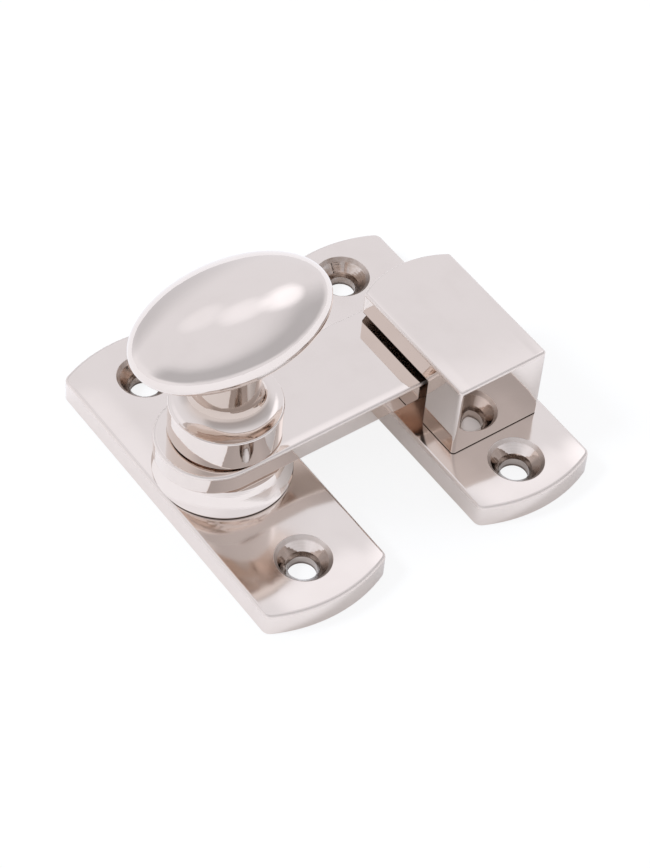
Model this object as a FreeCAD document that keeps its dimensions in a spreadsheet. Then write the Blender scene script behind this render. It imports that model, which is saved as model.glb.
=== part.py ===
"""Cupboard catch latch: a turning arm with an oval knob on a base plate, and a hooked keeper beside it.

Millimetres. The origin is on the pivot axis, level with the backs of both plates; +Z points out of the
door, +X from the pivot to the keeper and -Y to the near end of the plates. The latch is modelled closed.
"""
import FreeCAD, Part
import math
import os

import Sketcher

SIZES = {
    # both plates
    "plate_thick": 3.5,
    "end_bow": 20.2,
    "corner_round": 1.2,
    "edge_round": 0.45,
    "screw_hole_dia": 3.8,
    "screw_rim_dia": 7.5,
    "screw_throat_dia": 4.5,
    "screw_throat_depth": 0.65,
    # base plate
    "base_length": 50.8,
    "base_width": 18.4,
    "base_hole_spacing": 36.0,
    # collar that lifts the arm off the plate
    "collar_dia": 18.2,
    "collar_top_dia": 16.0,
    "collar_height": 4.0,
    "collar_bulge": 9.0,
    "collar_foot_round": 0.4,
    # pivot bolt, its seat in the back of the plate and the spring under its head
    "journal_dia": 6.0,
    "bolt_square": 4.1,
    "bolt_thread_dia": 4.0,
    "bolt_thread_length": 8.0,
    "bolt_head_dia": 9.6,
    "bolt_head_thick": 1.3,
    "bolt_slot_width": 1.2,
    "bolt_slot_depth": 0.6,
    "recess_dia": 10.4,
    "recess_depth": 2.1,
    "spring_thick": 0.35,
    "spring_cone": 0.15,
    "spring_margin": 0.3,
    # arm
    "arm_width": 14.7,
    "arm_thick": 3.2,
    "arm_setback": 2.0,
    "arm_edge_round": 0.4,
    # knob with its boss and neck
    "boss_dia": 14.7,
    "boss_height": 5.15,
    "boss_round": 0.25,
    "shadow_gap": 0.3,
    "shadow_depth": 0.9,
    "neck_dia": 8.6,
    "neck_cove": 2.6,
    "neck_flare": 1.8,
    "knob_length": 28.9,
    "knob_width": 17.9,
    "knob_thick": 9.2,
    "knob_lift": 19.4,
    "knob_turn": 5.3,
    "neck_bury": 0.2,
    # keeper plate and the hook on it
    "keeper_distance": 32.6,
    "keeper_drop": 0.25,
    "keeper_length": 50.8,
    "keeper_width": 18.0,
    "keeper_hole_spacing": 38.5,
    "hook_width": 13.9,
    "hook_offset": 0.35,
    "hook_length": 20.8,
    "hook_bow": 13.5,
    "hook_corner_round": 0.5,
    "hook_edge_round": 0.4,
    "hook_foot_round": 0.25,
    "roof_thick": 3.5,
    "wall_thick": 2.6,
    "pillar_thick": 6.45,
    "slot_round": 0.7,
    # two screws that hold the hook from the back of its plate
    "hook_screw_dia": 3.0,
    "hook_screw_head_dia": 5.6,
    "hook_screw_length": 9.0,
    "hook_screw_spacing": 7.2,
    "hook_screw_slot": 0.8,
    # clearances
    "running_gap": 0.1,
    "shaft_clearance": 0.05,
    "thread_clearance": 0.05,
    "head_sink": 0.15,
    "roof_gap": 0.9,
    "stop_gap": 0.7,
    "tip_gap": 0.5,
}

# heights and places that follow from the sizes, as expressions on the sheet
LEVELS = {
    "collar_top": "plate_thick + collar_height",
    "arm_bottom": "collar_top + running_gap",
    "arm_top": "arm_bottom + arm_thick",
    "knob_middle": "arm_top + knob_lift",
    "roof_bottom": "arm_top + roof_gap",
    "hook_top": "roof_bottom + roof_thick",
    "pillar_face": "arm_width / 2 + stop_gap",
    "hook_near": "pillar_face + pillar_thick",
    "hook_far": "hook_length - hook_near",
    "hook_middle": "keeper_distance + hook_offset",
    "wall_face": "hook_middle + hook_width / 2 - wall_thick",
    "arm_reach": "wall_face - tip_gap",
    "head_front": "head_sink + bolt_head_thick",
}

doc = FreeCAD.newDocument("cupboard_catch_latch")
sheet = doc.addObject("Spreadsheet::Sheet", "Sizes")
for row, (alias, value) in enumerate(list(SIZES.items()) + list(LEVELS.items()), start=1):
    sheet.set(f"A{row}", alias)
    sheet.set(f"B{row}", f"={value}" if isinstance(value, str) else str(value))
    sheet.setAlias(f"B{row}", alias)
doc.recompute()

SAME = 1e-6  # millimetres, or cubic ones, below which two measures count as equal
sub_parts = []


def on_sheet(text):
    """Writes an expression on bare size names as one on the sheet's cells."""
    words = []
    word = ""
    for letter in text + " ":
        if letter.isalnum() or letter == "_":
            word += letter
            continue
        words.append(f"Sizes.{word}" if word in SIZES or word in LEVELS else word)
        words.append(letter)
        word = ""
    return "".join(words).strip()


def number(text):
    """The value that an expression has now, to draw a sketch near its solved shape."""
    return float(sheet.evalExpression(on_sheet(text)))


def bind(feature, **properties):
    """Ties properties of a feature to expressions on the sheet; a double underscore stands for a dot."""
    for name, text in properties.items():
        feature.setExpression(name.replace("__", "."), on_sheet(text))


def new_body(label, x="0", y="0", z="0"):
    """An empty body, placed by expressions, whose label names its file."""
    body = doc.addObject("PartDesign::Body", label)
    body.Label = label
    bind(body, Placement__Base__x=x, Placement__Base__y=y, Placement__Base__z=z)
    sub_parts.append(body)
    return body


def attach(feature, body, role, height="0"):
    """Lays a sketch or primitive on one of its body's origin planes, lifted by an expression."""
    planes = [plane for plane in body.Origin.OriginFeatures if plane.Role == role]
    feature.AttachmentSupport = [(planes[0], "")]
    feature.MapMode = "FlatFace"
    bind(feature, AttachmentOffset__Base__z=height)


def outline(body, name, role, points, arcs=(), height="0"):
    """A closed sketch through points given as expressions; arcs maps a side to (radius, bulges outwards)."""
    sketch = body.newObject("Sketcher::SketchObject", name)
    attach(sketch, body, role, height)
    arcs = dict(arcs)
    places = [FreeCAD.Vector(number(x), number(y), 0) for x, y in points]
    count = len(points)
    turning = sum(places[i].cross(places[(i + 1) % count]).z for i in range(count))
    ends = []
    for side in range(count):
        start, stop = places[side], places[(side + 1) % count]
        if side not in arcs:
            sketch.addGeometry(Part.LineSegment(start, stop), False)
            ends.append((1, 2))
            continue
        radius, bulges = arcs[side]
        chord = stop - start
        half = chord.Length / 2
        rise = number(radius) - math.sqrt(max(number(radius) ** 2 - half ** 2, 0))
        outward = FreeCAD.Vector(chord.y, -chord.x, 0).normalize() * (1 if turning > 0 else -1)
        middle = (start + stop) / 2 + outward * (rise if bulges else -rise)
        forward = bulges == (turning > 0)
        first, last = (start, stop) if forward else (stop, start)
        sketch.addGeometry(Part.Arc(first, middle, last), False)
        ends.append((1, 2) if forward else (2, 1))
    for side in range(count):
        follower = (side + 1) % count
        joined = (side, ends[side][1], follower, ends[follower][0])
        sketch.addConstraint(Sketcher.Constraint("Coincident", *joined))
    for side, (x, y) in enumerate(points):
        for kind, text, value in (("DistanceX", x, places[side].x), ("DistanceY", y, places[side].y)):
            index = sketch.addConstraint(Sketcher.Constraint(kind, -1, 1, side, ends[side][0], value))
            sketch.setExpression(f"Constraints[{index}]", on_sheet(text))
    for side, (radius, bulges) in arcs.items():
        index = sketch.addConstraint(Sketcher.Constraint("Radius", side, number(radius)))
        sketch.setExpression(f"Constraints[{index}]", on_sheet(radius))
    return sketch


def circles(body, name, role, places, diameter, height="0"):
    """A sketch of equal circles at places given as expressions."""
    sketch = body.newObject("Sketcher::SketchObject", name)
    attach(sketch, body, role, height)
    for side, (x, y) in enumerate(places):
        centre = FreeCAD.Vector(number(x), number(y), 0)
        sketch.addGeometry(Part.Circle(centre, FreeCAD.Vector(0, 0, 1), number(diameter) / 2), False)
        for kind, text, value in (("DistanceX", x, centre.x), ("DistanceY", y, centre.y)):
            index = sketch.addConstraint(Sketcher.Constraint(kind, -1, 1, side, 3, value))
            sketch.setExpression(f"Constraints[{index}]", on_sheet(text))
        index = sketch.addConstraint(Sketcher.Constraint("Diameter", side, number(diameter)))
        sketch.setExpression(f"Constraints[{index}]", on_sheet(diameter))
    return sketch


def rectangle(x0, y0, x1, y1):
    """Corner expressions of an upright rectangle, counterclockwise."""
    return [(x0, y0), (x1, y0), (x1, y1), (x0, y1)]


def feature(body, kind, name, profile, down=False, **properties):
    """A sketch-based feature; down turns it to the other side of its sketch."""
    made = body.newObject(f"PartDesign::{kind}", name)
    made.Profile = profile
    if down:
        made.Reversed = True
    bind(made, **properties)
    doc.recompute()
    return made


def cut(body, name, profile, down=False, **properties):
    """A pocket that is checked to have taken material away."""
    before = body.Shape.Volume
    made = feature(body, "Pocket", name, profile, down, **properties)
    if body.Shape.Volume > before - SAME:
        raise RuntimeError(f"{body.Label}: {name} cuts nothing")
    return made


def turned(body, name, profile):
    """A full revolution of a profile about the upright axis of its sketch."""
    made = body.newObject("PartDesign::Revolution", name)
    made.Profile = profile
    made.ReferenceAxis = (profile, ["V_Axis"])
    made.Angle = 360
    doc.recompute()
    return made


def round_edges(body, name, radius, wanted):
    """Rounds the edges of the body so far that wanted picks out."""
    base = body.Tip
    edges = [f"Edge{i}" for i, edge in enumerate(base.Shape.Edges, start=1) if wanted(edge)]
    made = body.newObject("PartDesign::Fillet", name)
    made.Base = (base, edges)
    bind(made, Radius=radius)
    doc.recompute()
    return made


def upright(edge):
    ends = [vertex.Point for vertex in edge.Vertexes]
    return len(ends) == 2 and math.hypot(ends[0].x - ends[1].x, ends[0].y - ends[1].y) < SAME


def level(height):
    """Picks the edges that lie at one height, given as an expression."""
    wanted_z = number(height)
    return lambda edge: edge.BoundBox.ZLength < SAME and abs(edge.BoundBox.ZMin - wanted_z) < SAME


def mounting_plate(label, length, width, spacing, x="0", y="0"):
    """A plate with bowed ends, softened edges and two countersunk screw holes on its centre line."""
    body = new_body(label, x, y)
    corner = f"{length} / 2 - end_bow + sqrt(end_bow ^ 2 - ({width} / 2) ^ 2)"
    half = f"{width} / 2"
    plan = outline(body, f"{label}_plan", "XY_Plane",
                   rectangle(f"-({half})", f"-({corner})", half, corner),
                   {0: ("end_bow", True), 2: ("end_bow", True)})
    feature(body, "Pad", f"{label}_slab", plan, Length="plate_thick")
    round_edges(body, f"{label}_corners", "corner_round", upright)
    round_edges(body, f"{label}_top_edge", "edge_round", level("plate_thick"))
    places = [("0", f"-({spacing} / 2)"), ("0", f"{spacing} / 2")]
    drilled = circles(body, f"{label}_screw_places", "XY_Plane", places, "screw_hole_dia", "plate_thick")
    doc.recompute()
    before = body.Shape.Volume
    hole = body.newObject("PartDesign::Hole", f"{label}_screw_holes")
    hole.Profile = drilled
    doc.recompute()
    hole.ThreadType = "None"
    hole.DepthType = "ThroughAll"
    hole.HoleCutType = "Countersink"
    hole.HoleCutCustomValues = True
    hole.HoleCutCountersinkAngle = 90
    bind(hole, Diameter="screw_hole_dia", HoleCutDiameter="screw_rim_dia")
    doc.recompute()
    if body.Shape.Volume > before - SAME:
        raise RuntimeError(f"{label}: the screw holes cut nothing")
    cone_depth = "(screw_rim_dia - screw_throat_dia) / 2"
    throat = circles(body, f"{label}_throat_places", "XY_Plane", places, "screw_throat_dia",
                     f"plate_thick - {cone_depth}")
    cut(body, f"{label}_screw_throats", throat, Length="screw_throat_depth",
        TaperAngle="-atan((screw_throat_dia - screw_hole_dia) / (2 * screw_throat_depth))")
    return body


# Base plate: a thick brass plate, screwed to the door, with a bore for the pivot and a seat behind it.
base_plate = mounting_plate("base_plate", "base_length", "base_width", "base_hole_spacing")
axis = [("0", "0")]
journal_bore = "journal_dia + 2 * shaft_clearance"
cut(base_plate, "pivot_bore", circles(base_plate, "pivot_bore_place", "XY_Plane", axis, journal_bore),
    down=True, Length="plate_thick")
cut(base_plate, "head_recess", circles(base_plate, "head_recess_place", "XY_Plane", axis, "recess_dia"),
    down=True, Length="recess_depth")

# Pivot collar: a turned ring between plate and arm that swells towards its foot, where its edge is rounded.
collar = new_body("pivot_collar", z="plate_thick")
half_bore = f"({journal_bore}) / 2"
collar_section = outline(
    collar, "collar_section", "XZ_Plane",
    [(half_bore, "0"), ("collar_dia / 2 - collar_foot_round", "0"), ("collar_dia / 2", "collar_foot_round"),
     ("collar_top_dia / 2", "collar_height"), (half_bore, "collar_height")],
    {1: ("collar_foot_round", True), 2: ("collar_bulge", True)})
turned(collar, "collar_ring", collar_section)

# Disc spring: a slightly coned washer that drags on the bolt head, so that the arm stays where it is put.
spring = new_body("disc_spring", z="head_front")
spring_in = "journal_dia / 2 + spring_margin"
spring_out = "bolt_head_dia / 2 - spring_margin"
rim = "running_gap / 2"
spring_section = outline(
    spring, "spring_section", "XZ_Plane",
    [(spring_in, f"{rim} + spring_cone"), (spring_out, rim),
     (spring_out, f"{rim} + spring_thick"), (spring_in, f"{rim} + spring_cone + spring_thick")])
turned(spring, "spring_disc", spring_section)

# Pivot bolt: slotted head, round journal in the plate and collar, square through the arm, thread in the knob.
bolt = new_body("pivot_bolt")
journal_top = "arm_bottom - running_gap / 2"
square_top = "arm_top - running_gap / 2"
bolt_section = outline(
    bolt, "bolt_section", "XZ_Plane",
    [("0", "head_sink"), ("bolt_head_dia / 2", "head_sink"), ("bolt_head_dia / 2", "head_front"),
     ("journal_dia / 2", "head_front"), ("journal_dia / 2", journal_top), ("0", journal_top)])
turned(bolt, "head_and_journal", bolt_section)
flat = "bolt_square / 2"
feature(bolt, "Pad", "square_shank",
        outline(bolt, "square_plan", "XY_Plane", rectangle(f"-({flat})", f"-({flat})", flat, flat),
                height=journal_top),
        Length=f"({square_top}) - ({journal_top})")
feature(bolt, "Pad", "thread",
        circles(bolt, "thread_place", "XY_Plane", axis, "bolt_thread_dia", square_top),
        Length="bolt_thread_length")
slot = outline(bolt, "slot_plan", "XY_Plane",
               rectangle("-bolt_head_dia", "-bolt_slot_width / 2", "bolt_head_dia", "bolt_slot_width / 2"),
               height="head_sink")
cut(bolt, "driver_slot", slot, down=True, Length="bolt_slot_depth")

# Latch arm: a flat bar, round behind the pivot, with its tip struck from the pivot to clear the keeper.
arm = new_body("latch_arm", z="arm_bottom")
side = "arm_width / 2"
tip = "sqrt(arm_reach ^ 2 - (arm_width / 2) ^ 2)"
arm_plan = outline(
    arm, "arm_plan", "XY_Plane",
    [("-arm_setback", f"-{side}"), (tip, f"-{side}"), (tip, side), ("-arm_setback", side),
     (f"-arm_setback - {side}", "0")],
    {1: ("arm_reach", True), 3: (side, True), 4: (side, True)})
feature(arm, "Pad", "arm_bar", arm_plan, Length="arm_thick")
round_edges(arm, "arm_tip_corners", "corner_round", lambda edge: upright(edge) and edge.BoundBox.XMin > 0)
round_edges(arm, "arm_edges", "arm_edge_round", lambda edge: edge.BoundBox.ZLength < SAME)
keyway = "bolt_square / 2 + shaft_clearance"
cut(arm, "square_hole",
    outline(arm, "square_hole_plan", "XY_Plane", rectangle(f"-({keyway})", f"-({keyway})", keyway, keyway)),
    down=True, Length="arm_thick")

# Oval knob: boss, neck and knob cast as one; the boss sweeps up in a hollow curve and takes the thread.
knob = new_body("oval_knob", z="arm_top")
neck = "neck_dia / 2"
flare_edge = f"{neck} + neck_flare"
buried = "knob_thick / 2 - neck_bury"
knob_seat = f"knob_lift - ({buried}) * sqrt(1 - (({flare_edge}) / (knob_width / 2)) ^ 2)"
knob_section = outline(
    knob, "knob_section", "XZ_Plane",
    [("0", "0"), ("boss_dia / 2 - shadow_depth", "0"), ("boss_dia / 2 - shadow_depth", "shadow_gap"),
     ("boss_dia / 2 - boss_round", "shadow_gap"), ("boss_dia / 2", "shadow_gap + boss_round"),
     ("boss_dia / 2", "boss_height - boss_round"), ("boss_dia / 2 - boss_round", "boss_height"),
     (f"{neck} + neck_cove", "boss_height"), (neck, "boss_height + neck_cove"),
     (neck, f"{knob_seat} - neck_flare"), (flare_edge, knob_seat), ("0", knob_seat)],
    {3: ("boss_round", True), 5: ("boss_round", True), 7: ("neck_cove", False), 9: ("neck_flare", False)})
turned(knob, "boss_and_neck", knob_section)
grip = knob.newObject("PartDesign::AdditiveEllipsoid", "grip")
attach(grip, knob, "XY_Plane", "knob_lift")
bind(grip, Radius1="knob_thick / 2", Radius2="knob_length / 2", Radius3="knob_width / 2",
     AttachmentOffset__Rotation__Angle="knob_turn")
doc.recompute()
thread_hole = circles(knob, "thread_hole_place", "XY_Plane", axis, "bolt_thread_dia + 2 * thread_clearance")
cut(knob, "thread_hole", thread_hole, down=True, Length="bolt_thread_length + 2 * running_gap")

# Keeper plate: the same kind of plate, with two holes countersunk from behind for the hook's screws.
keeper_plate = mounting_plate("keeper_plate", "keeper_length", "keeper_width", "keeper_hole_spacing",
                              x="keeper_distance", y="-keeper_drop")
pillar_middle = "keeper_drop - pillar_face - pillar_thick / 2"
half_spacing = "hook_screw_spacing / 2"
screw_places = [(f"hook_offset {sign} {half_spacing}", pillar_middle) for sign in "-+"]
shank_hole = "hook_screw_dia + 2 * thread_clearance"
cut(keeper_plate, "hook_screw_holes",
    circles(keeper_plate, "hook_screw_places", "XY_Plane", screw_places, shank_hole),
    down=True, Length="plate_thick")
seat_depth = "(hook_screw_head_dia - hook_screw_dia) / 2 + head_sink"
seats = feature(keeper_plate, "Pocket", "hook_screw_seats",
                circles(keeper_plate, "hook_seat_places", "XY_Plane", screw_places,
                        "hook_screw_head_dia + 2 * thread_clearance + 2 * head_sink"),
                down=True, Length=seat_depth)
seats.TaperAngle = -45

# Keeper hook: a block with a bowed far end, cut away so that a roof, an end pillar and a back wall are left.
hook = new_body("keeper_hook", x="hook_middle", z="plate_thick")
half_hook = "hook_width / 2"
hook_plan = outline(hook, "hook_plan", "XY_Plane",
                    rectangle(f"-({half_hook})", "-hook_near", half_hook, "hook_far"),
                    {2: ("hook_bow", True)})
feature(hook, "Pad", "hook_block", hook_plan, Length="hook_top - plate_thick")
round_edges(hook, "hook_corners", "hook_corner_round", upright)
round_edges(hook, "hook_top_edge", "hook_edge_round", level("hook_top - plate_thick"))
round_edges(hook, "hook_foot", "hook_foot_round", level("0"))
slot_plan = outline(hook, "slot_plan", "XY_Plane",
                    rectangle("-hook_width", "-pillar_face", "wall_face - hook_middle", "hook_length"))
cut(hook, "slot", slot_plan, down=True, Length="roof_bottom - plate_thick")
roof = number("roof_bottom - plate_thick")
round_edges(hook, "slot_corner", "slot_round",
            lambda edge: edge.BoundBox.ZLength < SAME and abs(edge.BoundBox.ZMin - roof) < SAME
            and edge.BoundBox.YLength < SAME and abs(edge.BoundBox.YMin + number("pillar_face")) < SAME)
pillar_axis = "-pillar_face - pillar_thick / 2"
cut(hook, "screw_holes",
    circles(hook, "screw_hole_places", "XY_Plane",
            [(f"-{half_spacing}", pillar_axis), (half_spacing, pillar_axis)], shank_hole),
    down=True, Length="hook_screw_length + 2 * head_sink - plate_thick")

# Hook screws: two countersunk machine screws with slotted heads, driven from behind the keeper plate.
screws = new_body("hook_screws", x="hook_middle", y=pillar_axis, z="head_sink")
screws.AllowCompound = True
head_depth = "(hook_screw_head_dia - hook_screw_dia) / 2"
screw_section = outline(
    screws, "screw_section", "XZ_Plane",
    [("0", "0"), ("hook_screw_head_dia / 2", "0"), ("hook_screw_dia / 2", head_depth),
     ("hook_screw_dia / 2", "hook_screw_length"), ("0", "hook_screw_length")])
bind(screw_section, AttachmentOffset__Base__x=half_spacing)
first_screw = turned(screws, "screw", screw_section)
screw_slot = outline(screws, "screw_slot_plan", "XY_Plane",
                     rectangle(f"{half_spacing} - hook_screw_head_dia", "-hook_screw_slot / 2",
                               f"{half_spacing} + hook_screw_head_dia", "hook_screw_slot / 2"))
screw_slot_cut = cut(screws, "screw_slot", screw_slot, down=True, Length="hook_screw_slot")
pair = screws.newObject("PartDesign::Mirrored", "second_screw")
pair.Originals = [first_screw, screw_slot_cut]
pair.MirrorPlane = ([p for p in screws.Origin.OriginFeatures if p.Role == "YZ_Plane"][0], [""])
screws.Tip = pair

doc.recompute()
faults = [made.Label for made in doc.Objects if {"Invalid", "Error"} & set(made.State)]
faults += [body.Label for body in sub_parts if body.Shape.isNull() or not body.Shape.isValid()]
if faults:
    raise RuntimeError("failed: " + ", ".join(sorted(set(faults))))

os.makedirs("parts", exist_ok=True)
for body in sub_parts:
    body.Shape.exportStep(os.path.join("parts", f"{body.Label}.step"))
    box = body.Shape.optimalBoundingBox(False)
    print(f"{body.Label:14} {len(body.Shape.Solids)} solid  {body.Shape.Volume:9.2f} mm3  "
          f"{box.XLength:6.2f} x {box.YLength:6.2f} x {box.ZLength:6.2f} mm")
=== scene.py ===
"""A cupboard turn catch in polished nickel, dressed over its solids and set on a white studio floor.

The solids' own frame is kept: the pivot's axis is +Z, and the keeper stands on the +X side.
Lengths on the pieces are in millimetres, and the studio's are in metres.
"""
import math

import bpy
from mathutils import Matrix, Vector


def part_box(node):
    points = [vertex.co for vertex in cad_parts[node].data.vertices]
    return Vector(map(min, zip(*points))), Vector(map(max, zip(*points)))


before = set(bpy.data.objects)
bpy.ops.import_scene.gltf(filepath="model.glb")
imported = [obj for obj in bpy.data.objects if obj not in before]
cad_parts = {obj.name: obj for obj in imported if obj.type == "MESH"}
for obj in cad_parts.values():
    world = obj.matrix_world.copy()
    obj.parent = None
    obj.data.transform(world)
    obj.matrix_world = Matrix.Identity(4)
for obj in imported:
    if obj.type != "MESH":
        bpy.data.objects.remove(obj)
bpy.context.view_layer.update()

# Base plate: a thick cast brass plate, nickel plated and mopped until it mirrors what stands around it.
# The mop has rolled its top over towards the edges. Two countersunk wood screws hold it to the door; their
# seats keep the fine rings of the drill, and painted shade, on unmopped metal, darkens the bores and one
# side of each seat.
MM = 0.001
NICKEL = (0.80, 0.715, 0.66, 1)
HAZED_NICKEL = (0.78, 0.695, 0.64, 1)
# warm brown: stains in the plates' seats, and painted shade under the knob's grip
WARM_BROWN = (0.50, 0.385, 0.31, 1)
# painted shade for the crease where one piece stands on another
PAINTED_CONTACT_SHADE = (0.06, 0.045, 0.038, 1)
# painted shade on unmopped metal, for the plates' bores and seats and the hook's slot
UNMOPPED_AND_SHADE = (0.21, 0.17, 0.145, 1)
POLISH_ROUGHNESS = 0.028
HAZE_SCALE = 0.21
HAZE_RANGE = (0.42, 0.78)
HAZE_ROUGHNESS = 0.02
WIPE_SCALE = 1.1
WIPE_ROUGHNESS = 0.018
WIPE_HEIGHT = 0.00025
WIPED_ALONG_Y = (1, 0.05, 1)
WAVE_SCALE = 0.085
WAVE_HEIGHT = 0.045
BROWNED_ROUGHNESS = 0.06
UNMOPPED_ROUGHNESS = 0.3
CREASE_HEIGHT = 0.2
CREASE_ROUGHNESS = 0.4
EDGE_ROUGHNESS = 0.35
EDGE_START = (0.01, 0.05)
EDGE_END = (0.55, 0.4)
PLATE_HALF_LENGTH = 25.4
PLATE_EDGE_REACH = 4.2
PLATE_EDGE_TILT = 0.13
PLATE_END_REACH = 7.0
PLATE_END_TILT = 0.16
PLATE_DULLED = 0.075
PLATE_WAVE = 0.11
PLATE_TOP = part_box("base_plate")[1][2] / MM
SEAT_RADIUS = 3.75
SEAT_RING_PITCH = 0.26
SEAT_RING_HEIGHTS = (0.0003, 0.0012)
FAR_SEAT_DULLED = 0.09
SEAT_STREAK_HEIGHT = 0.035
SEAT_STREAK_SCALE = 2.3
SEAT_STEEPER = 0.28
SEAT_SOFT = 0.05
SEAT_ABOVE_BACK = (0.02, 0.1)
SEAT_STAINS = (0.25, 0.8)
BLOTCH_SCALE = 0.9
BLOTCH_RANGE = (0.35, 0.7)
BLOTCH_LEAST = 0.35
BORE_RADIUS = 1.9
BORE_SOFT = (0.1, 0.02)
BORE_FOOT = (0.5, 0.2)
BORE_DARK = 0.35
SHADED_SEAT_SIDE = (0.35, -0.94, 0)
SHADED_SEAT_RANGE = (0.45, 1.0)
SHADED_SEAT_DARK = 0.7
BASE_MIDDLE = (0, 0)
BASE_HALF_WIDTH = 9.2
BASE_HALF_SPACING = 18.0


class Field:
    """A value, place or colour over a surface: an output socket on which arithmetic adds Math nodes."""

    def __init__(self, tree, socket):
        self.tree = tree
        self.socket = socket

    def node(self, kind, settings=(), inputs=(), output=0):
        """Adds a shader node: its settings first, then the values or links of its sockets."""
        made = self.tree.nodes.new("ShaderNode" + kind)
        for name, value in dict(settings).items():
            setattr(made, name, value)
        for name, value in dict(inputs).items():
            if isinstance(value, Field):
                self.tree.links.new(value.socket, made.inputs[name])
            else:
                made.inputs[name].default_value = value
        return Field(self.tree, made.outputs[output])

    def math(self, operation, *values):
        return self.node("Math", {"operation": operation}, dict(enumerate(values)))

    def __add__(self, other):
        return self.math("ADD", self, other)

    def __sub__(self, other):
        return self.math("SUBTRACT", self, other)

    def __rsub__(self, other):
        return self.math("SUBTRACT", other, self)

    def __mul__(self, other):
        return self.math("MULTIPLY", self, other)

    def __abs__(self):
        return self.math("ABSOLUTE", self)

    __radd__ = __add__
    __rmul__ = __mul__

    def step(self, low, high):
        """0 below low, 1 above high and a smooth rise between, or a fall where low is the larger."""
        limits = {"From Min": low, "From Max": high}
        return self.node("MapRange", {"interpolation_type": "SMOOTHSTEP"}, {"Value": self, **limits})

    def mixed(self, first, second):
        """The first colour where this field is 0 and the second where it is 1."""
        return self.node("Mix", {"data_type": "RGBA"}, {0: self, 6: first, 7: second}, output=2)

    def part(self, axis):
        """One coordinate of a field of places: 0, 1 or 2 for X, Y or Z."""
        return self.node("SeparateXYZ", (), {0: self}, output=axis)

    def noise(self, scale, detail=2.0, stretch=(1, 1, 1)):
        """Noise of so many blotches to a millimetre over this field of places."""
        place = self.node("VectorMath", {"operation": "MULTIPLY"}, {0: self, 1: stretch})
        return self.node("TexNoise", (), {"Vector": place, "Scale": scale, "Detail": detail}, output="Fac")

    def away_from(self, x, y):
        """Distance of a field of places from an upright axis."""
        flat = self.node("VectorMath", {"operation": "MULTIPLY"}, {0: self, 1: (1, 1, 0)})
        return self.node("VectorMath", {"operation": "DISTANCE"}, {0: flat, 1: (x, y, 0)}, output="Value")

    def bearing(self, x, y):
        """Level unit vectors that point from an upright axis to a field of places."""
        apart = self.node("VectorMath", {"operation": "SUBTRACT"}, {0: self, 1: (x, y, 0)})
        flat = self.node("VectorMath", {"operation": "MULTIPLY"}, {0: apart, 1: (1, 1, 0)})
        return self.node("VectorMath", {"operation": "NORMALIZE"}, {0: flat})

    def along(self, direction):
        """How far a field of vectors reaches along one direction."""
        product = {"operation": "DOT_PRODUCT"}
        return self.node("VectorMath", product, {0: self, 1: direction}, output="Value")

    def rings(self, pitch):
        """A wave of the given length along this field of distances."""
        return self.math("SINE", self * (2 * math.pi / pitch))


def new_surface(name):
    """A material, its shader, and the field of places, in millimetres, on the piece that it covers."""
    material = bpy.data.materials.new(name)
    material.use_nodes = True
    tree = material.node_tree
    place = Field(tree, tree.nodes.new("ShaderNodeTexCoord").outputs["Object"])
    place = place.node("VectorMath", {"operation": "MULTIPLY"}, {0: place, 1: (1 / MM, 1 / MM, 1 / MM)})
    shader = tree.nodes["Principled BSDF"]
    shader.inputs["Metallic"].default_value = 1.0
    return material, shader, place


def feed(shader, **fields):
    """Links fields to a shader's sockets; an underscore in a name stands for a space."""
    for name, field in fields.items():
        field.tree.links.new(field.socket, shader.inputs[name.replace("_", " ")])


def raised(height):
    """Normals of a surface whose height, in millimetres, is the given field."""
    return height.node("Bump", (), {"Strength": 1.0, "Distance": MM, "Height": height})


def rolled(across, middle, half, reach, tilt):
    """Height of a face that rolls over: level, then a parabola over the last reach that ends at a slope."""
    past = abs(across - middle) - (half - reach)
    past = past.math("MAXIMUM", past, 0.0)
    return past * past * (-tilt / (2 * reach))


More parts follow.
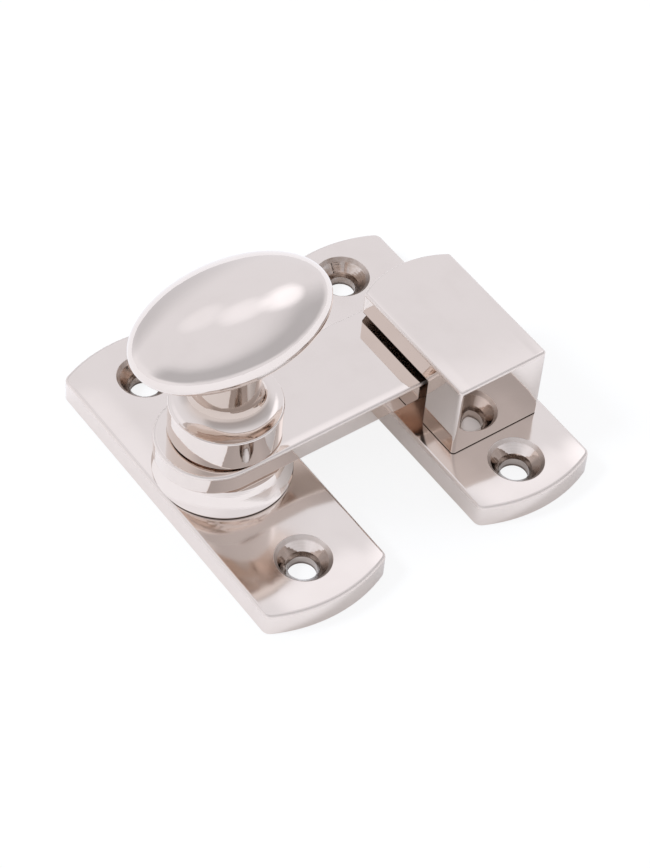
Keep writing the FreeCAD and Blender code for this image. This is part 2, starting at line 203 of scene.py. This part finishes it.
def mopped_nickel(name, shape=None, browned=None, wipe=WIPED_ALONG_Y, dulled=None, wave=WAVE_HEIGHT,
                  foot=None, shade_and_unmopped=None, edge=None):
    """Mirror nickel: broad waves from the mop, a breath of haze, hair-fine wipe marks along one axis.

    shape, browned and dulled, where given, turn the field of places into a further height, a share of warm
    brown and a further roughness. wave is the height of the mop's waves.
    foot is the height at which the piece stands on another; painted shade blackens the crease there.
    shade_and_unmopped turns the field of places into a share of dark metal: painted shade, on metal that
    the mop can't reach.
    edge is the height of the top, whose rounded edge is a little matt.
    """
    material, shader, place = new_surface(name)
    haze = place.noise(HAZE_SCALE, detail=3.0).step(*HAZE_RANGE)
    wipes = place.noise(WIPE_SCALE, detail=4.0, stretch=wipe)
    colour = haze.mixed(NICKEL, HAZED_NICKEL)
    roughness = POLISH_ROUGHNESS + HAZE_ROUGHNESS * haze + WIPE_ROUGHNESS * wipes
    height = wave * place.noise(WAVE_SCALE, detail=1.0) + WIPE_HEIGHT * wipes
    if shape:
        height = height + shape(place)
    if dulled:
        roughness = roughness + dulled(place)
    # a warm brown share; under the knob's grip it is painted shade
    if browned:
        share = browned(place)
        colour = share.mixed(colour, WARM_BROWN)
        roughness = roughness + BROWNED_ROUGHNESS * share
    if edge is not None:
        depth = edge - place.part(2)
        roughness = roughness + EDGE_ROUGHNESS * depth.step(*EDGE_START) * depth.step(*EDGE_END)
    # painted shade, on metal that the mop can't reach
    if shade_and_unmopped:
        share = shade_and_unmopped(place)
        colour = share.mixed(colour, UNMOPPED_AND_SHADE)
        roughness = roughness + UNMOPPED_ROUGHNESS * share
    # painted shade: the crease where the piece stands on another is blackened
    if foot is not None:
        share = place.part(2).step(foot + CREASE_HEIGHT, foot + CREASE_HEIGHT / 2)
        colour = share.mixed(colour, PAINTED_CONTACT_SHADE)
        roughness = roughness + CREASE_ROUGHNESS * share
    feed(shader, Base_Color=colour, Roughness=roughness, Normal=raised(height))
    return material


def seat_mask(place, hole):
    """1 in the countersink and the bore of a hole, 0 on the plate's front and back."""
    inside = place.away_from(*hole).step(SEAT_RADIUS + SEAT_SOFT, SEAT_RADIUS - SEAT_SOFT)
    return inside * place.part(2).step(*SEAT_ABOVE_BACK)


def plate_nickel(name, middle, half_width, half_spacing):
    """The nickel of a plate about a middle: rolled edges, and in two screw seats drill rings, warm brown
    and painted shade.
    """
    holes = [(middle[0], middle[1] - half_spacing), (middle[0], middle[1] + half_spacing)]

    def shape(place):
        sides = rolled(place.part(0), middle[0], half_width, PLATE_EDGE_REACH, PLATE_EDGE_TILT)
        ends = rolled(place.part(1), middle[1], PLATE_HALF_LENGTH, PLATE_END_REACH, PLATE_END_TILT)
        height = sides + ends
        for hole, ring_height in zip(holes, SEAT_RING_HEIGHTS):
            distance = place.away_from(*hole)
            seat = SEAT_STEEPER * (distance - SEAT_RADIUS) + ring_height * distance.rings(SEAT_RING_PITCH)
            seat = seat + SEAT_STREAK_HEIGHT * place.bearing(*hole).noise(SEAT_STREAK_SCALE)
            height = height + seat * seat_mask(place, hole)
        return height

    def dulled(place):
        near, far = (seat_mask(place, hole) for hole in holes)
        return PLATE_DULLED * (1 - near - far) + FAR_SEAT_DULLED * far

    def browned(place):
        near, far = (share * seat_mask(place, hole) for share, hole in zip(SEAT_STAINS, holes))
        blotch = place.noise(BLOTCH_SCALE, detail=3.0).step(*BLOTCH_RANGE)
        return (near + far) * (BLOTCH_LEAST + (1 - BLOTCH_LEAST) * blotch)

    def shaded_seats(place):
        """Painted shade in the bores, on metal the mop can't reach and deeper towards their foot, and on
        the near side of each seat.
        """
        foot = place.part(2).step(*BORE_FOOT)
        shares = []
        for hole in holes:
            bore = (place.away_from(*hole) - BORE_RADIUS).step(*BORE_SOFT)
            shaded_side = place.bearing(*hole).along(SHADED_SEAT_SIDE).step(*SHADED_SEAT_RANGE) * (1 - bore)
            dark = bore * (BORE_DARK + (1 - BORE_DARK) * foot) + SHADED_SEAT_DARK * shaded_side
            shares.append(seat_mask(place, hole) * dark)
        return shares[0] + shares[1]

    # painted shade in the bores and on one side of each seat
    return mopped_nickel(name, shape, browned, dulled=dulled, wave=PLATE_WAVE, shade_and_unmopped=shaded_seats, edge=PLATE_TOP)


def dress(node, material):
    """Puts a material on a solid in place of the plain one that it came with."""
    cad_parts[node].data.materials.clear()
    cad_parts[node].data.materials.append(material)


dress("base_plate", plate_nickel("base_plate_nickel", BASE_MIDDLE, BASE_HALF_WIDTH, BASE_HALF_SPACING))

# Pivot collar: a ring turned from brass bar, plated with the plate that it stands on.
# It lifts the arm to the height of the hook; the lathe's fine feed marks still show on its side.
FEED_PITCH = 0.18
FEED_HEIGHT = 0.0004
COLLAR_SWELL = PLATE_TOP + 2.9
COLLAR_TURN_OUT = 0.095
WIPED_ALONG_Z = (1, 1, 0.05)


def collar_shape(place):
    """Rings up the flank, and a parabola below the swell by which the foot turns outwards."""
    below = COLLAR_SWELL - place.part(2)
    below = below.math("MAXIMUM", below, 0.0)
    return FEED_HEIGHT * place.part(2).rings(FEED_PITCH) + COLLAR_TURN_OUT * below * below


# painted shade blackens the crease where the collar stands on the plate
dress("pivot_collar", mopped_nickel("collar_nickel", collar_shape, wipe=WIPED_ALONG_Z, foot=PLATE_TOP))

# Pivot bolt and disc spring: a turned steel bolt let into the back of the plate, slotted for a screwdriver,
# over a thin coned washer that keeps the knob from swinging by itself. Neither is plated.
STEEL = (0.56, 0.55, 0.53, 1)
OILED_STEEL = (0.43, 0.415, 0.395, 1)
STEEL_ROUGHNESS = 0.2
OIL_SCALE = 0.5
OIL_RANGE = (0.4, 0.7)
OIL_ROUGHNESS = 0.1
GROOVE_PITCH = 0.16
GROOVE_ROUGHNESS = 0.03
GROOVE_HEIGHT = 0.0016
GRAIN_SCALE = 1.3
GRAIN_HEIGHT = 0.004


def turned_steel(name, axes):
    """Bright steel with the rings of the lathe about each axis, and oil that has darkened it in patches."""
    material, shader, place = new_surface(name)
    distance = place.away_from(*axes[0])
    for axis in axes[1:]:
        other = place.away_from(*axis)
        distance = distance.math("MINIMUM", distance, other)
    grooves = distance.rings(GROOVE_PITCH)
    oil = place.noise(OIL_SCALE, detail=3.0).step(*OIL_RANGE)
    feed(shader, Base_Color=oil.mixed(STEEL, OILED_STEEL),
         Roughness=STEEL_ROUGHNESS + OIL_ROUGHNESS * oil + GROOVE_ROUGHNESS * grooves,
         Normal=raised(GROOVE_HEIGHT * grooves + GRAIN_HEIGHT * place.noise(GRAIN_SCALE)))
    return material


dress("pivot_bolt", turned_steel("bolt_steel", [(0, 0)]))
dress("disc_spring", turned_steel("spring_steel", [(0, 0)]))

# Latch arm: a flat brass bar, sawn, filed round behind the pivot, plated and mopped along its length.
# It is keyed to the bolt by a square hole, so that the knob turns it into the hook.
ARM_HALF_WIDTH = 7.35
ARM_EDGE_REACH = 1.7
ARM_EDGE_TILT = 0.16
WIPED_ALONG_X = (0.05, 1, 1)
ARM_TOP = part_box("latch_arm")[1][2] / MM


def arm_shape(place):
    return rolled(place.part(1), 0, ARM_HALF_WIDTH, ARM_EDGE_REACH, ARM_EDGE_TILT)


dress("latch_arm", mopped_nickel("arm_nickel", arm_shape, wipe=WIPED_ALONG_X, edge=ARM_TOP))

# Oval knob: boss, hollow neck and egg-shaped grip cast in one piece of brass, plated and mopped by hand,
# which leaves its dome less than true. The boss stands on the arm and is screwed to the bolt.
BOSS_TOP = ARM_TOP + 5.15
GRIP_RIM = BOSS_TOP + 11.6
DENT_SCALE = 0.16
DENT_HEIGHT = 0.05
STREAK_SCALE = 0.42
STREAK_HEIGHT = 0.02
STREAK_STRETCH = (0.2, 1, 1)
BROWN_FOOT = (BOSS_TOP, BOSS_TOP + 1.2)
BROWN_HEAD = (GRIP_RIM, GRIP_RIM - 0.8)
BROWN_ENDS = (9.5, 6.5)
BROWN_SHARE = 0.55
BROWN_CHANGE = 0.12
BROWN_SCALE = 0.35
WIPED_BY_HAND = (0.3, 1, 1)


def hand_waves(place):
    dents = place.noise(DENT_SCALE, detail=1.0)
    streaks = place.noise(STREAK_SCALE, detail=3.0, stretch=STREAK_STRETCH)
    return DENT_HEIGHT * dents + STREAK_HEIGHT * streaks


def shade_under_grip(place):
    """Painted shade in warm brown on the neck and below the rim, under the grip's middle; none under its
    ends.
    """
    reach = place.part(2).step(*BROWN_FOOT) * place.part(2).step(*BROWN_HEAD)
    share = BROWN_SHARE + BROWN_CHANGE * place.noise(BROWN_SCALE, detail=3.0)
    return reach * abs(place.part(0)).step(*BROWN_ENDS) * share


# painted shade: warm brown under the grip, and black in the crease where the boss stands on the arm
dress("oval_knob", mopped_nickel("knob_nickel", hand_waves, shade_under_grip, wipe=WIPED_BY_HAND, foot=ARM_TOP))

# Keeper plate: the same casting as the base plate, screwed to the frame or to the other door.
# Its middle is covered by the hook, which two screws hold from behind.
KEEPER_MIDDLE = (32.6, -0.25)
KEEPER_HALF_WIDTH = 9.0
KEEPER_HALF_SPACING = 19.25
keeper_nickel = plate_nickel("keeper_plate_nickel", KEEPER_MIDDLE, KEEPER_HALF_WIDTH, KEEPER_HALF_SPACING)
dress("keeper_plate", keeper_nickel)

# Keeper hook: a brass block milled out so that a roof, a back wall and an end stop are left round the
# arm's way. It is mopped on its outer faces; the slot inside is unmopped metal, darkened further with
# painted shade.
HOOK_MIDDLE = 32.95
HOOK_HALF_WIDTH = 6.95
HOOK_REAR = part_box("keeper_hook")[1][1] / MM
HOOK_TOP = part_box("keeper_hook")[1][2] / MM
HOOK_LENGTH = HOOK_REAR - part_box("keeper_hook")[0][1] / MM
HOOK_EDGE_REACH = 2.0
HOOK_EDGE_TILT = 0.10
HOOK_END_REACH = 16.0
HOOK_END_TILT = 0.055
STOP_FACE = -8.05
ROOF_FACE = 11.7
WALL_FACE = 37.3
SLOT_SOFT = (0.1, 0.05)


def hook_shape(place):
    sides = rolled(place.part(0), HOOK_MIDDLE, HOOK_HALF_WIDTH, HOOK_EDGE_REACH, HOOK_EDGE_TILT)
    return sides + rolled(place.part(1), HOOK_REAR, HOOK_LENGTH, HOOK_END_REACH, HOOK_END_TILT)


def slot_inside(place):
    """1 on the faces round the arm's way: behind the end stop, under the roof and before the wall."""
    past_stop = (STOP_FACE - place.part(1)).step(*SLOT_SOFT)
    under_roof = (place.part(2) - ROOF_FACE).step(*SLOT_SOFT)
    return past_stop * under_roof * (place.part(0) - WALL_FACE).step(*SLOT_SOFT)


# painted shade: the slot inside is darkened, and the crease where the hook stands on its plate is blackened
hook_nickel = mopped_nickel("hook_nickel", hook_shape, foot=PLATE_TOP, shade_and_unmopped=slot_inside, edge=HOOK_TOP)
dress("keeper_hook", hook_nickel)

# Hook screws: two slotted steel machine screws, countersunk into the back of the keeper plate.
# Their heads lie just under its face, and their threads run up into the end stop.
HOOK_SCREW_AXES = [(29.35, -11.275), (36.55, -11.275)]
dress("hook_screws", turned_steel("screw_steel", HOOK_SCREW_AXES))

# Studio: a white floor that keeps a faint shadow, in a pale room with soft cards and a grey wall.
# The camera looks down on the catch from the near left, through a long lens.
FLOOR_SIZE = 4.0
FLOOR_DROP = 0.00005
FLOOR_GLOW = 0.85
WHITE = (1, 1, 1, 1)
FLOOR_WHITE = (0.95, 0.95, 0.95, 1)
FLOOR_GLOW_IN_METAL = 0.13
ROOM_LEVEL = 0.955
ROOM_TINT = (0.955, 0.985, 1.065)
# azimuth and elevation of a panel's middle, half-angles of its core and of its soft edge, change of level
CARDS = (
    (171, -49, 65, 91, 0.10),
    (18, 45, 1, 14, 0.46),
    (36, 59, 1, 11, 0.21),
    (68, 57, 1, 11, 0.13),
    (92, 1, 1, 41, -0.22),
)
# a grey wall behind the camera: middle azimuth, depth of the grey, lean, and its soft edges and ends
WALL_AZIMUTH = -85
WALL_DEPTH = 0.35
WALL_LEAN = 0.12
WALL_FOOT = (0.14, 0.36)
WALL_HEAD = (0.68, 1.0)
WALL_ENDS = (-0.30, 0.25)
LAMP_AZIMUTH = 150
LAMP_ELEVATION = 45
LAMP_STRENGTH = 1.6
LAMP_TINT = (0.93, 1.0, 1.12)
LAMP_SPREAD = 15
MIRRORINGS = 9

floor_mesh = bpy.data.meshes.new("studio_floor")
half = FLOOR_SIZE / 2
floor_mesh.from_pydata([(-half, -half, -FLOOR_DROP), (half, -half, -FLOOR_DROP), (half, half, -FLOOR_DROP),
                        (-half, half, -FLOOR_DROP)], [], [(0, 1, 2, 3)])
floor = bpy.data.objects.new("studio_floor", floor_mesh)
bpy.context.scene.collection.objects.link(floor)
floor_paint = bpy.data.materials.new("floor_paint")
floor_paint.use_nodes = True
floor_tree = floor_paint.node_tree
floor_tree.nodes.clear()
path = floor_tree.nodes.new("ShaderNodeLightPath")
seen = FLOOR_GLOW * Field(floor_tree, path.outputs["Is Camera Ray"])
seen = seen + FLOOR_GLOW_IN_METAL * Field(floor_tree, path.outputs["Is Glossy Ray"])
matt = seen.node("BsdfDiffuse", (), {"Color": FLOOR_WHITE})
glow = seen.node("Emission", (), {"Color": WHITE, "Strength": 1.0})
painted = seen.node("MixShader", (), {0: seen, 1: matt, 2: glow})
floor_tree.links.new(painted.socket, floor_tree.nodes.new("ShaderNodeOutputMaterial").inputs["Surface"])
floor_mesh.materials.append(floor_paint)


def toward(azimuth, elevation):
    """The unit vector at an azimuth from +X towards +Y and an elevation, in degrees."""
    turn, rise = math.radians(azimuth), math.radians(elevation)
    return Vector((math.cos(turn) * math.cos(rise), math.sin(turn) * math.cos(rise), math.sin(rise)))


world = bpy.data.worlds.new("studio_room")
bpy.context.scene.world = world
world.use_nodes = True
room_tree = world.node_tree
room_tree.nodes.clear()
way = Field(room_tree, room_tree.nodes.new("ShaderNodeTexCoord").outputs["Generated"])


def panel(azimuth, elevation, core, edge, change):
    """A soft disc on the room's sphere: the change of level within its core, none beyond its edge."""
    facing = way.along(toward(azimuth, elevation))
    return change * facing.step(math.cos(math.radians(edge)), math.cos(math.radians(core)))


height = way.part(2) + WALL_LEAN * way.part(0)
ends = way.along(toward(WALL_AZIMUTH, 0)).step(*WALL_ENDS)
level = ROOM_LEVEL - WALL_DEPTH * ends * height.step(*WALL_FOOT) * (1 - height.step(*WALL_HEAD))
for card in CARDS:
    level = level + panel(*card)
room_colour = level.node("VectorMath", {"operation": "SCALE"}, {0: ROOM_TINT, "Scale": level})
room_path = room_tree.nodes.new("ShaderNodeLightPath")
room_seen = Field(room_tree, room_path.outputs["Is Camera Ray"]).mixed(room_colour, WHITE)
background = room_seen.node("Background", (), {"Color": room_seen, "Strength": 1.0})
room_tree.links.new(background.socket, room_tree.nodes.new("ShaderNodeOutputWorld").inputs["Surface"])

lamp = bpy.data.lights.new("studio_lamp", "SUN")
lamp.energy = LAMP_STRENGTH
lamp.color = LAMP_TINT
lamp.angle = math.radians(LAMP_SPREAD)
lamp_stand = bpy.data.objects.new("studio_lamp", lamp)
lamp_stand.rotation_euler = toward(LAMP_AZIMUTH, LAMP_ELEVATION).to_track_quat("Z", "Y").to_euler()
lamp_stand.visible_glossy = False
bpy.context.scene.collection.objects.link(lamp_stand)
bpy.context.scene.cycles.glossy_bounces = MIRRORINGS

CAMERA_AZIMUTH = math.radians(-39.85)
CAMERA_ELEVATION = math.radians(48.87)
CAMERA_ROLL = math.radians(5.75)
CAMERA_DISTANCE = 387.07 * MM
CAMERA_TARGET = Vector((13.88, -3.12, 4.0)) * MM
FOCAL_PIXELS = 3000.0
IMAGE_HEIGHT = 868
SENSOR_HEIGHT = 24.0
CLIP_START = 0.01

back = Vector((math.sin(CAMERA_AZIMUTH) * math.cos(CAMERA_ELEVATION),
               -math.cos(CAMERA_AZIMUTH) * math.cos(CAMERA_ELEVATION), math.sin(CAMERA_ELEVATION)))
across = Vector((math.cos(CAMERA_AZIMUTH), math.sin(CAMERA_AZIMUTH), 0))
upward = back.cross(across)
right = across * math.cos(CAMERA_ROLL) + upward * math.sin(CAMERA_ROLL)
top = back.cross(right)
lens = bpy.data.cameras.new("camera")
lens.sensor_fit = "VERTICAL"
lens.sensor_height = SENSOR_HEIGHT
lens.lens = FOCAL_PIXELS / IMAGE_HEIGHT * SENSOR_HEIGHT
lens.clip_start = CLIP_START
camera = bpy.data.objects.new("camera", lens)
bpy.context.scene.collection.objects.link(camera)
camera.matrix_world = Matrix.Translation(CAMERA_TARGET + back * CAMERA_DISTANCE) @ Matrix(
    (right, top, back)).transposed().to_4x4()
bpy.context.scene.camera = camera
bpy.context.scene.view_settings.view_transform = "Standard"
